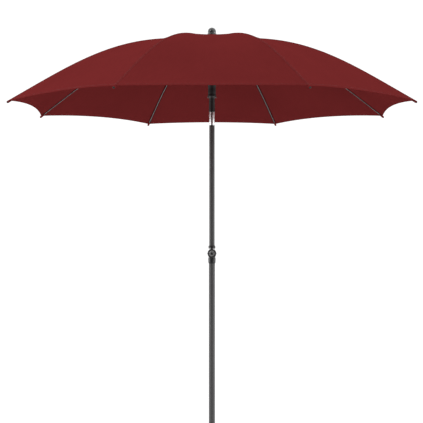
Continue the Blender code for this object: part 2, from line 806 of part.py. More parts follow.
def gore_mesh():
    """The fabric on one rib, out to halfway to its neighbours, as a thin closed shell."""
    columns = [c / CLOTH_COLUMNS for c in range(-CLOTH_COLUMNS, CLOTH_COLUMNS + 1)]
    edge = 1 - SEAM_SHARE
    bm = bmesh.new()
    sheets = []
    for below in (0, CLOTH):
        rows = []
        for radius in stations():
            last = radius == HEM_RADIUS
            rows.append(
                [
                    bm.verts.new(cloth_point(hem(c) if last else radius, c * edge, below))
                    for c in columns
                ]
            )
        sheets.append(rows)
    across = len(columns) - 1
    along = len(stations()) - 1
    for rows in sheets:
        for i in range(along):
            for k in range(across):
                bm.faces.new((rows[i][k], rows[i][k + 1], rows[i + 1][k + 1], rows[i + 1][k]))
    top, bottom = sheets
    for i in range(along):
        for k in (0, across):
            bm.faces.new((top[i][k], top[i + 1][k], bottom[i + 1][k], bottom[i][k]))
    for k in range(across):
        for i in (0, along):
            bm.faces.new((top[i][k], top[i][k + 1], bottom[i][k + 1], bottom[i][k]))
    bm.normal_update()
    mesh = closed(bm, "gore")
    mesh.transform(Matrix.Translation(-hub_pivot()))
    return mesh


def canopy(origin):
    """Every rib with its tip, bracket, stretcher and gore, around the hub."""
    pivot = hub_pivot()
    middle, along = bracket_frame()
    run = stretcher_run()
    rib = rib_mesh()
    tip = tip_cap_mesh()
    bracket = bracket_mesh()
    stretcher = stretcher_mesh()
    gore = gore_mesh()
    tip_at = on_rib(HEM_RADIUS) + end_direction() * STEP / 2 - pivot
    tip_turn = Vector((0, 0, 1)).rotation_difference(end_direction()).to_matrix().to_4x4()
    bracket_turn = Matrix.Rotation(-math.atan2(along.z, along.x), 4, "Y")
    stretcher_turn = Matrix.Rotation(-math.atan2(run.z, run.x), 4, "Y")
    lift = Matrix.Translation((0, 0, -TILT_Z))
    for i in range(RIB_COUNT):
        number = i + 1
        plane = lift @ Matrix.Rotation(azimuth(i), 4, "Z")
        at_pivot = plane @ Matrix.Translation(pivot)
        holder = add(f"rib_{number}", rib, "rib_fibreglass", at_pivot, origin)
        place = Matrix.Translation(tip_at) @ tip_turn
        add(f"rib_tip_{number}", tip, "black_plastic", place, holder)
        place = Matrix.Translation(middle - pivot) @ bracket_turn
        add(f"rib_bracket_{number}", bracket, "black_plastic", place, holder)
        place = Matrix.Translation(stretcher_pivot() - pivot) @ stretcher_turn
        add(f"stretcher_{number}", stretcher, "rib_fibreglass", place, holder)
        add(f"gore_{number}", gore, "cloth", Matrix(), holder)


def main():
    for old in list(bpy.data.objects):
        bpy.data.objects.remove(old)
    pole()
    clamp()
    knuckle()
    canopy(head())


main()
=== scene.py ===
"""Looks of the garden parasol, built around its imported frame.

Every place comes from the frame's boxes or from the canopy's own form: ribs lie on a curve that
falls slowly from the crown and runs straight near the hem, and fabric is stretched between them.
"""

import json
import math

import bmesh
import bpy
from mathutils import Matrix, Vector


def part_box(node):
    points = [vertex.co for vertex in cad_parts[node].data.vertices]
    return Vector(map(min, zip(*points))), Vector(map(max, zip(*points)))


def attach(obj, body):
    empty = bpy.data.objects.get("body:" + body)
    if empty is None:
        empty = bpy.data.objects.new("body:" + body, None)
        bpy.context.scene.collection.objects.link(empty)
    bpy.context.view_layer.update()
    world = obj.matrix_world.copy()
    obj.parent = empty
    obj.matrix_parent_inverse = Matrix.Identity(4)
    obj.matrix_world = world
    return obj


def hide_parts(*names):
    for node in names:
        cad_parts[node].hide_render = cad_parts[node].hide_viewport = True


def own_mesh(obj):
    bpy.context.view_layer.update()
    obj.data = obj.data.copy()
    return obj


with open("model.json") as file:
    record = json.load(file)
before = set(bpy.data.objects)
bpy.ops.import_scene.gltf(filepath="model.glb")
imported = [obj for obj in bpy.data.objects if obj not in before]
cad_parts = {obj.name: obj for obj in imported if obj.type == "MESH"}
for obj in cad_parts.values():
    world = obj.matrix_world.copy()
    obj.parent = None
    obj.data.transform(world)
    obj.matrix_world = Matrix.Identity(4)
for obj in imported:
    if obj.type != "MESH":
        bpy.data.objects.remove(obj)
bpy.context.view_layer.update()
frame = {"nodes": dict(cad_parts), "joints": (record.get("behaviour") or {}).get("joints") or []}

# --- camera, floor and light ---------------------------------------------------------------

CAMERA_DISTANCE = 4.03
CAMERA_HEIGHT = 1.39
FOCAL = 74.5
HORIZON_SHIFT = -0.039
SIDE_SHIFT = -0.001
FLOOR_RADIUS = 1.25
STUDIO_LIGHT = 1.10
BRIGHT_TOWARDS = (0.24, 0.971, 0.0)  # the studio is brightest behind the parasol
DARK_SIDE = (-1.0, -0.30, 0.08, 1.0)  # from and to on that direction, and the shares of light there
DARK_BELOW = (-0.80, -0.35, 0.10, 1.0)  # the same downwards, past the floor's edge

# --- canopy form ---------------------------------------------------------------------------

RIBS = 8
HALF_TURN = math.pi / RIBS
CROWN_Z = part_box("gore_1")[1][2]
STRAIGHT_FROM = 0.837
END_SLOPE = 0.625
HEM_RADIUS = 0.9262
CAD_HEM = 0.9185  # where the ribs' caps begin
SCALLOP = 0.0257  # how far the hem curves in between two ribs
FRONT_SCALLOP = 0.0047
REAR_SCALLOP = 0.0138
FRONT_PANEL = 5  # between ribs 6 and 7, towards the knob's side
REAR_PANEL = 1
CLOTH_START = 0.044
CLOTH = 0.0009
SAG = 0.010  # how far the fabric dips between two ribs, at most
SAG_OUTWARDS = 1.3  # over 1, the dip is deepest past the middle of a rib
SAG_TILT = 0.35  # of the dip goes towards the pole
RIB_BELOW_CLOTH = 0.0050
HEM_WIDTH = 0.014
HEM_LIFT = 0.0006
SEAM_WIDTH = 0.011
SEAM_START = 0.036
SEAM_NARROWS = 0.10  # inside this radius the seam grows narrower towards the crown
TAPE_WIDTH = 0.013
TAPE_START = 0.070
TAPE_LIFT = -0.0011
BAND = 0.0005  # thickness of a seam's band and of its tape
STITCH = 0.0045
STITCH_STEP = 0.0075
GORE_ROWS = 44
STRIP_COLUMNS = 4  # on each side of a rib
FLAP_COLUMNS = 16

# --- small parts ---------------------------------------------------------------------------

GAP = 0.0003
TUBE_WALL = 0.0012
RIB_ROD = 0.0019
RIB_START = 0.034
RIB_END = 0.926
HUB_PIVOT_R = 0.0225
EYE_RADIUS = 0.0042
EYE_HOLE = 0.0016
EYE_THICK = 0.0044
EYE_OVERLAP = 0.0030  # where a rod starts, from the middle of its eye
SLOT_WIDTH = 0.0058
HUB_CORE = 0.0176
RUNNER_CORE = 0.0205
RUNNER_PIVOT_R = 0.0245
RUNNER_PIVOT_DEPTH = 0.025  # below the runner's top
STRETCHER_ROD = 0.0023
STRETCHER_EYE = 0.0036
TAB_END = 0.012  # where a stretcher's flat tab turns into its round rod
TURN_ON_UV = 0.016  # how much UV once round a rod takes
RING_HEIGHT = 0.0048
REACH = 0.02  # takes a cutter clear of the piece that it cuts
FINE = 96  # sides of a round piece that is seen close up

# --- the closed canopy ---------------------------------------------------------------------

HUB_PIVOT = Vector((HUB_PIVOT_R, 0, CROWN_Z - 0.009))
RIB_TURN = math.radians(67)  # of a rib, from open to closed
STRIP_FIT = 0.92  # the strips' edges lie a little nearer to the pole than their middles
STRIP_GAP = 0.003


def fall(radius):
    """How far the fabric over a rib lies below the crown at this radius."""
    curved = min(radius, STRAIGHT_FROM)
    period = math.pi / STRAIGHT_FROM
    bend = END_SLOPE * (curved / 2 - math.sin(period * curved) / (2 * period))
    return bend + END_SLOPE * (radius - curved)


def azimuth(i):
    return 2 * math.pi * (i + 0.5) / RIBS


def on_rib(radius):
    """A point of a rib's centreline in its own plane, X outwards."""
    return Vector((radius, 0, CROWN_Z - fall(radius) - RIB_BELOW_CLOTH))


def cloth_point(radius, side, lift=0.0):
    """The fabric beside a rib: side is 0 on the rib and 1 or -1 midway to the next one."""
    across = abs(side)
    x = radius * (1 - math.sin(HALF_TURN) ** 2 * across)
    y = radius * math.sin(2 * HALF_TURN) / 2 * side
    along = min(1.0, radius / HEM_RADIUS)
    dip = SAG * math.sin(math.pi * along**SAG_OUTWARDS) * (1 - (1 - across) ** 2)
    return Vector((x - SAG_TILT * dip, y, CROWN_Z - fall(radius) - dip + lift))


def scallop(panel):
    """The panels in front and behind hang lower than the ones at the sides."""
    return {FRONT_PANEL: FRONT_SCALLOP, REAR_PANEL: REAR_SCALLOP}.get(panel % RIBS, SCALLOP)


def hem(side, i):
    """Radius of the scalloped hem on this line of the fabric on rib i."""
    depth = scallop(i if side > 0 else i - 1)
    return HEM_RADIUS - depth * (1 - (1 - abs(side)) ** 2)


# --- materials -----------------------------------------------------------------------------

WINE = (0.187, 0.0232, 0.0236)
# painted shade: the inside tape's darker wine stands in for the shade along each rib under the fabric
PAINTED_SHADE_WINE = (0.085, 0.012, 0.012)


class Shader:
    """A node material that starts as a Principled BSDF with its constant values set."""

    def __init__(self, name, colour, roughness, metallic=0.0, **constants):
        self.material = bpy.data.materials.new(name)
        self.material.use_nodes = True
        self.tree = self.material.node_tree
        self.bsdf = self.tree.nodes["Principled BSDF"]
        self.colour = colour
        self.set(self.bsdf, **{"Base Color": (*colour, 1), "Roughness": roughness})
        self.set(self.bsdf, Metallic=metallic, **constants)

    def set(self, node, **values):
        for name, value in values.items():
            node.inputs[name].default_value = value

    def node(self, kind, **values):
        made = self.tree.nodes.new(kind)
        for name, value in values.items():
            if name in made.inputs:
                made.inputs[name].default_value = value
            else:
                setattr(made, name, value)
        return made

    def join(self, out, into):
        self.tree.links.new(out, into)

    def place(self, stretch=(1, 1, 1), source="Object"):
        """Texture coordinates in metres, stretched along the axes."""
        coordinates = self.node("ShaderNodeTexCoord")
        mapping = self.node("ShaderNodeMapping")
        mapping.inputs["Scale"].default_value = stretch
        self.join(coordinates.outputs[source], mapping.inputs["Vector"])
        return mapping.outputs["Vector"]

    def noise(self, vector, scale, detail=3.0):
        texture = self.node("ShaderNodeTexNoise", Scale=scale, Detail=detail)
        self.join(vector, texture.inputs["Vector"])
        return texture.outputs["Fac"]

    def range(self, value, low, high):
        """Spreads a 0 to 1 value over low to high."""
        spread = self.node("ShaderNodeMapRange")
        self.set(spread, **{"From Min": 0.3, "From Max": 0.7, "To Min": low, "To Max": high})
        self.join(value, spread.inputs["Value"])
        return spread.outputs["Result"]

    def vary_colour(self, value, dark, light):
        """The base colour between dark and light times itself, by a 0 to 1 value."""
        ramp = self.node("ShaderNodeValToRGB")
        ramp.color_ramp.elements[0].position = 0.3
        ramp.color_ramp.elements[1].position = 0.7
        for element, share in zip(ramp.color_ramp.elements, (dark, light)):
            element.color = (*[min(1.0, c * share) for c in self.colour], 1)
        self.join(value, ramp.inputs["Fac"])
        self.join(ramp.outputs["Color"], self.bsdf.inputs["Base Color"])

    def bump(self, height, distance, strength=1.0):
        relief = self.node("ShaderNodeBump", Distance=distance, Strength=strength)
        self.join(height, relief.inputs["Height"])
        self.join(relief.outputs["Normal"], self.bsdf.inputs["Normal"])

    def math(self, operation, a, b):
        node = self.node("ShaderNodeMath", operation=operation)
        for socket, value in zip(node.inputs, (a, b)):
            if isinstance(value, (int, float)):
                socket.default_value = value
            else:
                self.join(value, socket)
        return node.outputs["Value"]


def cloth_material(name, colour):
    """Polyester in a plain weave, with faint broad shade changes."""
    s = Shader(name, colour, 0.9, **{"Specular IOR Level": 0.0})
    threads = []
    for direction in ("X", "Y"):
        wave = s.node("ShaderNodeTexWave", Scale=520.0, Distortion=0.4)
        wave.bands_direction = direction
        s.join(s.place(source="UV"), wave.inputs["Vector"])
        threads.append(wave.outputs["Fac"])
    weave = s.math("MULTIPLY", *threads)
    broad = s.noise(s.place(), 3.5, 4.0)
    slubs = s.noise(s.place((18, 260, 1), "UV"), 1.0, 2.0)
    shade = s.math("MULTIPLY", s.math("ADD", broad, slubs), 0.5)
    s.vary_colour(shade, 0.90, 1.08)
    s.bump(weave, 0.00025, 0.6)
    return s.material


def thread_material():
    """Sewing thread a shade darker than the cloth, with its twist."""
    s = Shader("wine_thread", (0.12, 0.012, 0.014), 0.6)
    twist = s.node("ShaderNodeTexWave", Scale=900.0)
    s.join(s.place(), twist.inputs["Vector"])
    s.vary_colour(twist.outputs["Fac"], 0.8, 1.2)
    return s.material


def rod_material(name, colour, roughness, metallic):
    """A pulled rod: faint streaks along it, by its own UV."""
    s = Shader(name, colour, roughness, metallic)
    streaks = s.noise(s.place((6, 90, 1), "UV"), 2.0, 3.0)
    s.vary_colour(streaks, 0.85, 1.15)
    s.join(s.range(streaks, roughness - 0.06, roughness + 0.08), s.bsdf.inputs["Roughness"])
    s.bump(streaks, 0.00006, 0.5)
    return s.material


def paint_material():
    """Anthracite powder coat: orange peel, and a few faint rubs."""
    s = Shader("anthracite_paint", (0.090, 0.089, 0.090), 0.56, 0.05, **{"Coat Weight": 0.03})
    peel = s.noise(s.place(), 900.0, 2.0)
    rubs = s.noise(s.place((1, 1, 0.08)), 60.0, 4.0)
    s.vary_colour(rubs, 0.92, 1.1)
    s.join(s.range(rubs, 0.52, 0.60), s.bsdf.inputs["Roughness"])
    s.bump(peel, 0.00002, 0.5)
    return s.material


def plastic_material(name, colour, roughness, grain):
    """Moulded plastic with a spark-eroded grain and a little handling shine."""
    s = Shader(name, colour, roughness)
    spots = s.noise(s.place(), 1600.0, 2.0)
    handled = s.noise(s.place(), 45.0, 3.0)
    s.vary_colour(handled, 0.85, 1.2)
    s.join(s.range(handled, roughness - 0.05, roughness + 0.07), s.bsdf.inputs["Roughness"])
    s.bump(spots, grain, 0.7)
    return s.material


def gloss_material():
    """Smoky polished plastic under a clear lacquer, with faint cloudiness."""
    s = Shader("finial_plastic", (0.036, 0.038, 0.038), 0.16)
    s.set(s.bsdf, **{"Specular IOR Level": 0.6, "Coat Weight": 1.0, "Coat Roughness": 0.10})
    cloud = s.noise(s.place(), 60.0, 3.0)
    s.vary_colour(cloud, 0.85, 1.15)
    s.join(s.range(cloud, 0.12, 0.22), s.bsdf.inputs["Roughness"])
    return s.material


def metal_material(name, colour, roughness, brushed, metallic=1.0):
    """Bare or plated metal: brushing round it, and smudges in the gloss."""
    s = Shader(name, colour, roughness, metallic)
    smudge = s.noise(s.place(), 70.0, 3.0)
    lines = s.noise(s.place((40, 40, 1400)), 1.0, 2.0)
    s.join(s.range(smudge, roughness * 0.7, roughness * 1.5), s.bsdf.inputs["Roughness"])
    s.vary_colour(smudge, 0.94, 1.03)
    s.bump(lines, brushed, 0.4)
    return s.material


LOOKS = {
    "cloth": cloth_material("wine_cloth", WINE),
    # the seam tape's darker wine is painted shade along the ribs
    "tape": cloth_material("seam_tape_painted_shade", PAINTED_SHADE_WINE),
    "thread": thread_material(),
    "rib_fibreglass": rod_material("grey_fibreglass", (0.27, 0.26, 0.26), 0.36, 0.0),
    "stretcher_rod": rod_material("grey_rod", (0.20, 0.20, 0.205), 0.40, 0.3),
    "pole_paint": paint_material(),
    "black_plastic": plastic_material("black_plastic", (0.014, 0.0145, 0.015), 0.42, 0.00004),
    "matt_plastic": plastic_material("matt_plastic", (0.012, 0.0125, 0.013), 0.62, 0.00005),
    "sleeve_plastic": plastic_material("sleeve_plastic", (0.018, 0.0185, 0.0185), 0.30, 0.00003),
    "clamp_plastic": plastic_material("clamp_plastic", (0.026, 0.026, 0.028), 0.36, 0.00003),
    "neck_steel": metal_material("neck_steel", (0.50, 0.50, 0.50), 0.32, 0.000004, 0.7),
    "dark_steel": metal_material("dark_steel", (0.33, 0.33, 0.33), 0.34, 0.00001),
    "bright_steel": metal_material("bright_steel", (0.50, 0.50, 0.50), 0.30, 0.000004, 0.75),
    "finial_plastic": gloss_material(),
    "chrome": metal_material("chrome", (0.93, 0.93, 0.94), 0.24, 0.0000006, 0.55),
    "tongue": metal_material("tongue_steel", (0.30, 0.33, 0.32), 0.35, 0.000006),
    "zinc_steel": metal_material("zinc_steel", (0.62, 0.62, 0.61), 0.28, 0.00001),
}

# --- mesh helpers --------------------------------------------------------------------------


def evenly(start, end, steps):
    """Evenly spaced values from start to end, both with them."""
    return [start + (end - start) * k / steps for k in range(steps + 1)]


def shown(name, data):
    """A new object in the scene."""
    made = bpy.data.objects.new(name, data)
    bpy.context.scene.collection.objects.link(made)
    return made


def object_from(name, bm, look, smooth=35):
    """A bmesh as a shown object with its material."""
    bmesh.ops.remove_doubles(bm, verts=bm.verts, dist=1e-6)
    bmesh.ops.recalc_face_normals(bm, faces=bm.faces)
    mesh = bpy.data.meshes.new(name)
    bm.to_mesh(mesh)
    bm.free()
    mesh.shade_smooth()
    mesh.set_sharp_from_angle(angle=math.radians(smooth))
    mesh.materials.append(LOOKS[look])
    return shown(name, mesh)


def lathe(bm, outline, sides=FINE, loop=True):
    """Adds an outline of (radius, height) points, turned about Z, to a bmesh."""
    verts = [bm.verts.new((radius, 0, height)) for radius, height in outline]
    ends = verts[1:] + verts[:1] if loop else verts[1:]
    edges = [bm.edges.new(pair) for pair in zip(verts, ends)]
    bmesh.ops.spin(
        bm,
        geom=verts + edges,
        axis=(0, 0, 1),
        cent=(0, 0, 0),
        angle=2 * math.pi,
        steps=sides,
        use_merge=False,
    )


def turned(name, outline, look, sides=FINE, loop=True, smooth=35):
    bm = bmesh.new()
    lathe(bm, outline, sides, loop)
    return object_from(name, bm, look, smooth)


def rounded(corners, steps=4):
    """An outline whose (radius, height, fillet) corners are rounded off."""
    points = []
    count = len(corners)
    for i, (r, z, fillet) in enumerate(corners):
        here = Vector((r, z))
        if not fillet:
            points.append((r, z))
            continue
        before = (Vector(corners[i - 1][:2]) - here).normalized() * fillet
        after = (Vector(corners[(i + 1) % count][:2]) - here).normalized() * fillet
        for k in range(steps + 1):
            t = k / steps
            p = here + before * (1 - t) ** 2 + after * t**2
            points.append((p.x, p.y))
    return points


def bridge(bm, rings, caps):
    """Joins each ring of vertices to the next one, and closes the rings whose numbers caps has."""
    for ring, following in zip(rings, rings[1:]):
        for k in range(len(ring)):
            n = (k + 1) % len(ring)
            bm.faces.new((ring[k], ring[n], following[n], following[k]))
    for number in caps:
        bm.faces.new(rings[number])


def weave(bm, uv, rows, closed=False):
    """Faces between rows of (vertex, (u, v)). In a closed row the last vertex meets the first."""
    for row, following in zip(rows, rows[1:]):
        for k in range(len(row) if closed else len(row) - 1):
            n = (k + 1) % len(row)
            corners = (row[k], row[n], following[n], following[k])
            face = bm.faces.new([vert for vert, on_cloth in corners])
            for loop, (vert, on_cloth) in zip(face.loops, corners):
                loop[uv].uv = on_cloth


def tube_along(bm, path, radius, uv, sides=14):
    """Adds a round bar along points, capped, with a UV of metres along and turns round."""
    rings = []
    side = Vector((0, 1, 0))
    for i, point in enumerate(path):
        along = (path[min(i + 1, len(path) - 1)] - path[max(i - 1, 0)]).normalized()
        up = side.cross(along).normalized()
        ring = []
        for k in range(sides):
            turn = 2 * math.pi * k / sides
            ring.append(bm.verts.new(point + radius * (math.cos(turn) * up + math.sin(turn) * side)))
        rings.append(ring)
    reached = 0.0
    for i, (ring, following) in enumerate(zip(rings, rings[1:])):
        step = (path[i + 1] - path[i]).length
        for k in range(sides):
            n = (k + 1) % sides
            face = bm.faces.new((ring[k], ring[n], following[n], following[k]))
            corners = [(reached, k), (reached, k + 1), (reached + step, k + 1), (reached + step, k)]
            for loop, (u, v) in zip(face.loops, corners):
                loop[uv].uv = (u, v / sides * TURN_ON_UV)
        reached += step
    bm.faces.new(rings[0])
    bm.faces.new(rings[-1])


def eye(bm, centre, radius, hole, thick, sides=28):
    """Adds a flat eye about Y with rounded edges."""
    half = thick / 2
    soft = min(0.0006, thick / 5)
    part = bmesh.new()
    corners = [(hole, -half, 0), (radius, -half, soft), (radius, half, soft), (hole, half, 0)]
    lathe(part, rounded(corners, 3), sides)
    part.transform(Matrix.Translation(centre) @ Matrix.Rotation(-math.pi / 2, 4, "X"))
    merge(bm, part)


def merge(bm, part):
    """Adds one bmesh to another."""
    mesh = bpy.data.meshes.new("part")
    part.to_mesh(mesh)
    part.free()
    bm.from_mesh(mesh)
    bpy.data.meshes.remove(mesh)


def apply_modifiers(piece, smooth):
    """Makes the modified shape the piece's own, smooth apart from edges over an angle."""
    result = piece.evaluated_get(bpy.context.evaluated_depsgraph_get())
    mesh = bpy.data.meshes.new_from_object(result)
    mesh.shade_smooth()
    mesh.set_sharp_from_angle(angle=math.radians(smooth))
    piece.modifiers.clear()
    piece.data = mesh


def soften(piece, width, angle):
    edge = piece.modifiers.new("edge", "BEVEL")
    edge.width = width
    edge.segments = 2
    edge.limit_method = "ANGLE"
    edge.angle_limit = math.radians(angle)


def thicken(piece, thickness):
    skin = piece.modifiers.new("thickness", "SOLIDIFY")
    skin.thickness = thickness
    skin.offset = -1
    apply_modifiers(piece, 45)


def drill(piece, tools, bevel):
    """Cuts tools out of a piece, and softens the edges that this leaves."""
    for tool in tools:
        cut = piece.modifiers.new("cut", "BOOLEAN")
        cut.operation = "DIFFERENCE"
        cut.object = tool
    soften(piece, bevel, 50)
    apply_modifiers(piece, 40)
    for tool in tools:
        bpy.data.objects.remove(tool)
    return piece


def box_tool(low, high, turn=0.0):
    bm = bmesh.new()
    bmesh.ops.create_cube(bm, size=1)
    size = Vector(high) - Vector(low)
    bmesh.ops.scale(bm, vec=size, verts=bm.verts)
    bmesh.ops.translate(bm, vec=Vector(low) + size / 2, verts=bm.verts)
    bmesh.ops.rotate(bm, cent=(0, 0, 0), matrix=Matrix.Rotation(turn, 3, "Z"), verts=bm.verts)
    return object_from("tool", bm, "black_plastic")


def slot_tools(inner, bottom, top):
    half = SLOT_WIDTH / 2
    low, high = (inner, -half, bottom), (inner + REACH, half, top)
    return [box_tool(low, high, azimuth(i)) for i in range(RIBS)]


def place(piece, body, slot, *nodes):
    """Rides a piece on its body, and hides the CAD nodes that it stands for. The slot is not used."""
    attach(piece, body)
    if nodes:
        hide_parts(*nodes)
    return piece


def span(node):
    """Lowest and highest Z of a CAD node."""
    low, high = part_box(node)
    return low[2], high[2]


def radius_of(node):
    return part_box(node)[1][0]


# --- pole and clamp ------------------------------------------------------------------------


def tube_outline(node, fillet, shorter=0.0):
    """Outline of a tube that a CAD node marks, for rounded()."""
    low, high = span(node)
    high -= shorter
    outer = radius_of(node)
    inner = outer - TUBE_WALL
    return [(inner, low, 0), (outer, low, fillet), (outer, high, fillet), (inner, high, 0)]


def pole_tubes():
    for node, body, shorter in (("lower_tube", "lower_pole", 0), ("upper_tube", "upper_pole", RING_HEIGHT)):
        outline = rounded(tube_outline(node, 0.0004, shorter))
        place(turned(node + "_skin", outline, "pole_paint"), body, "pole_paint", node)


def foot_plug():
    """Plug with a flange under the tube's end."""
    low, high = span("foot_cap")
    outer, flange = radius_of("foot_cap"), 0.004
    plug = outer - 0.0015
    corners = [
        (0, low, 0),
        (outer, low, 0.0012),
        (outer, low + flange, 0.0003),
        (plug, low + flange, 0),
        (plug, high, 0.001),
        (0, high, 0),
    ]
    foot = turned("foot_plug", rounded(corners), "black_plastic", loop=False)
    place(foot, "lower_pole", "black_plastic", "foot_cap")


def end_ring():
    """Black edging on the pole's open end, under the knuckle's shoulder."""
    high = span("upper_tube")[1]
    outer = radius_of("upper_tube")
    low = high - RING_HEIGHT
    inner = outer - TUBE_WALL
    corners = [
        (inner, low, 0),
        (outer - 0.0003, low, 0.0001),
        (outer, low + 0.0006, 0.0003),
        (outer, high, 0.0012),
        (inner, high, 0),
    ]
    place(turned("pole_end_ring", rounded(corners), "black_plastic"), "upper_pole", "black_plastic")


def clamp():
    """Two dark collars on a bright neck, the boss that the screw goes through, and the knob."""
    low, high = span("clamp_body")
    ring, collar = radius_of("clamp_body"), 0.0162
    bore, upper_bore, neck_r = 0.0143, 0.0129, 0.0142
    screw_hole = 0.0044
    corners = [
        (bore, low, 0),
        (bore + 0.0006, low, 0.0003),
        (ring - 0.0004, low + 0.0055, 0.0012),
        (ring, low + 0.0215, 0.0012),
        (ring - 0.0004, low + 0.025, 0.0010),
        (0.0158, low + 0.0262, 0.0004),
        (0.0156, low + 0.0375, 0.0010),
        (neck_r - 0.0001, low + 0.0395, 0.0004),
        (upper_bore, low + 0.0395, 0),
        (upper_bore, low + 0.0375, 0),
        (bore, low + 0.0375, 0),
    ]
    lower = turned("clamp_lower_collar", rounded(corners), "clamp_plastic")
    place(lower, "lower_pole", "clamp_plastic", "clamp_body")
    top = high - 0.0135
    corners = [
        (upper_bore, top, 0),
        (collar - 0.0008, top, 0.0006),
        (collar, top + 0.0045, 0.0012),
        (collar - 0.0004, high - 0.0030, 0.0012),
        (upper_bore + 0.0012, high - 0.0002, 0.0008),
        (upper_bore, high, 0.0002),
    ]
    upper = turned("clamp_upper_collar", rounded(corners), "clamp_plastic")
    place(upper, "lower_pole", "clamp_plastic")
    neck = [
        (upper_bore, low + 0.0393, 0),
        (neck_r - 0.0002, low + 0.0393, 0),
        (neck_r - 0.0002, top + 0.002, 0),
        (upper_bore, top + 0.002, 0),
    ]
    place(turned("clamp_neck", rounded(neck), "neck_steel"), "lower_pole", "zinc_steel")
    front = -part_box("clamp_body")[0][1]
    boss = [
        (screw_hole, 0.0131, 0),
        (0.0110, 0.0131, 0),
        (0.0092, front, 0.0012),
        (screw_hole, front, 0.0004),
    ]
    facing_front(turned("clamp_boss", rounded(boss), "clamp_plastic", 48), "lower_pole")
    clamp_knob()


def knob_centre():
    low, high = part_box("clamp_knob")
    return Vector((0, 0, (low[2] + high[2]) / 2))


def facing_front(piece, body, *nodes, slot="clamp_plastic"):
    """Turns a piece made about Z to face -Y at the knob's height."""
    turn = Matrix.Rotation(math.pi / 2, 4, "X")
    piece.data.transform(Matrix.Translation(knob_centre()) @ turn)
    return place(piece, body, slot, *nodes)


def clamp_knob():
    """A lobed knob with a rounded rim, a bright dished plate in it and a domed button."""
    low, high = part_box("clamp_knob")
    radius, back, front = high[0], -high[1], -low[1]
    lobes, lobe_depth, sides = 10, 0.0008, 160
    depth = front - back
    floor_z = front - 0.0046
    levels = [
        (0.21, back + 0.0100, 0),
        (0.21, back, 0),
        (0.76, back, 0.2),
        (0.90, back + 0.0008, 0.6),
        (0.98, back + 0.0030, 1),
        (1.00, back + depth * 0.45, 1),
        (0.99, front - 0.0048, 1),
        (0.955, front - 0.0022, 0.9),
        (0.895, front - 0.0006, 0.5),
        (0.83, front, 0.2),
        (0.74, front - 0.0006, 0),
        (0.67, front - 0.0022, 0),
        (0.65, floor_z, 0),
        (0.0, floor_z, 0),
    ]
    bm = bmesh.new()
    rings = []
    for share, height, lobed in levels:
        ring = []
        for k in range(sides):
            turn = 2 * math.pi * k / sides
            inwards = lobe_depth * lobed * (1 - math.cos(lobes * turn)) / 2
            r = radius * share - inwards
            ring.append(bm.verts.new((r * math.cos(turn), r * math.sin(turn), height)))
        rings.append(ring)
    bridge(bm, rings, caps=(0,))
    bmesh.ops.remove_doubles(bm, verts=bm.verts, dist=1e-6)
    facing_front(object_from("clamp_knob_grip", bm, "clamp_plastic", 50), "clamp_knob", "clamp_knob")
    plate_r = radius * 0.64
    plate = [
        (0, floor_z + 0.0001, 0),
        (plate_r, floor_z + 0.0001, 0),
        (plate_r, floor_z + 0.0020, 0.0003),
        (plate_r * 0.80, floor_z + 0.0012, 0.0012),
        (plate_r * 0.62, floor_z + 0.0008, 0.0004),
        (plate_r * 0.60, floor_z + 0.0004, 0.0002),
        (plate_r * 0.56, floor_z + 0.0008, 0.0004),
        (0, floor_z + 0.0007, 0),
    ]
    dish = turned("clamp_knob_plate", rounded(plate), "bright_steel", loop=False, smooth=50)
    facing_front(dish, "clamp_knob", slot="zinc_steel")
    hub_r = radius * 0.27
    button = [
        (0, floor_z, 0),
        (hub_r, floor_z, 0),
        (hub_r, front - 0.0016, 0.0010),
        (hub_r * 0.55, front - 0.0008, 0.0012),
        (0, front - 0.0007, 0),
    ]
    cap = turned("clamp_knob_button", rounded(button), "clamp_plastic", 48, loop=False)
    facing_front(cap, "clamp_knob")


# --- knuckle, sleeve and head tube ---------------------------------------------------------


def knuckle():
    low, high = span("tilt_fork")
    outer = radius_of("tilt_fork")
    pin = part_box("tilt_pin")
    pivot = (pin[0][2] + pin[1][2]) / 2
    shoulder = span("upper_tube")[1] + GAP
    plug, hole_r, slot_half, groove_half = 0.0110, 0.0034, 0.0020, 0.0006
    corners = [
        (0, low, 0),
        (plug, low, 0.0010),
        (plug, shoulder, 0),
        (outer, shoulder, 0.0005),
        (outer, high, 0.0006),
        (0, high, 0),
    ]
    fork = turned("knuckle_fork", rounded(corners), "chrome", loop=False)
    floor_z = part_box("tilt_tongue")[0][2] - 0.0005
    slot = box_tool((-slot_half, -REACH, floor_z), (slot_half, REACH, high + REACH))
    flare = flare_tool(floor_z - 0.002, high + 0.001, outer)
    groove_low, groove_high, groove_floor = shoulder + 0.002, shoulder + 0.03, 0.004 - outer
    groove = box_tool((-groove_half, -REACH, groove_low), (groove_half, groove_floor, groove_high))
    across = [(0, -REACH), (hole_r, -REACH), (hole_r, REACH), (0, REACH)]
    hole = turned("tool", across, "chrome", 32, loop=False)
    hole.data.transform(Matrix.Translation((0, 0, pivot)) @ Matrix.Rotation(math.pi / 2, 4, "Y"))
    relief = relief_tool(pivot)
    place(drill(fork, [slot, hole, relief, flare, groove], 0.0002), "upper_pole", "chrome", "tilt_fork")


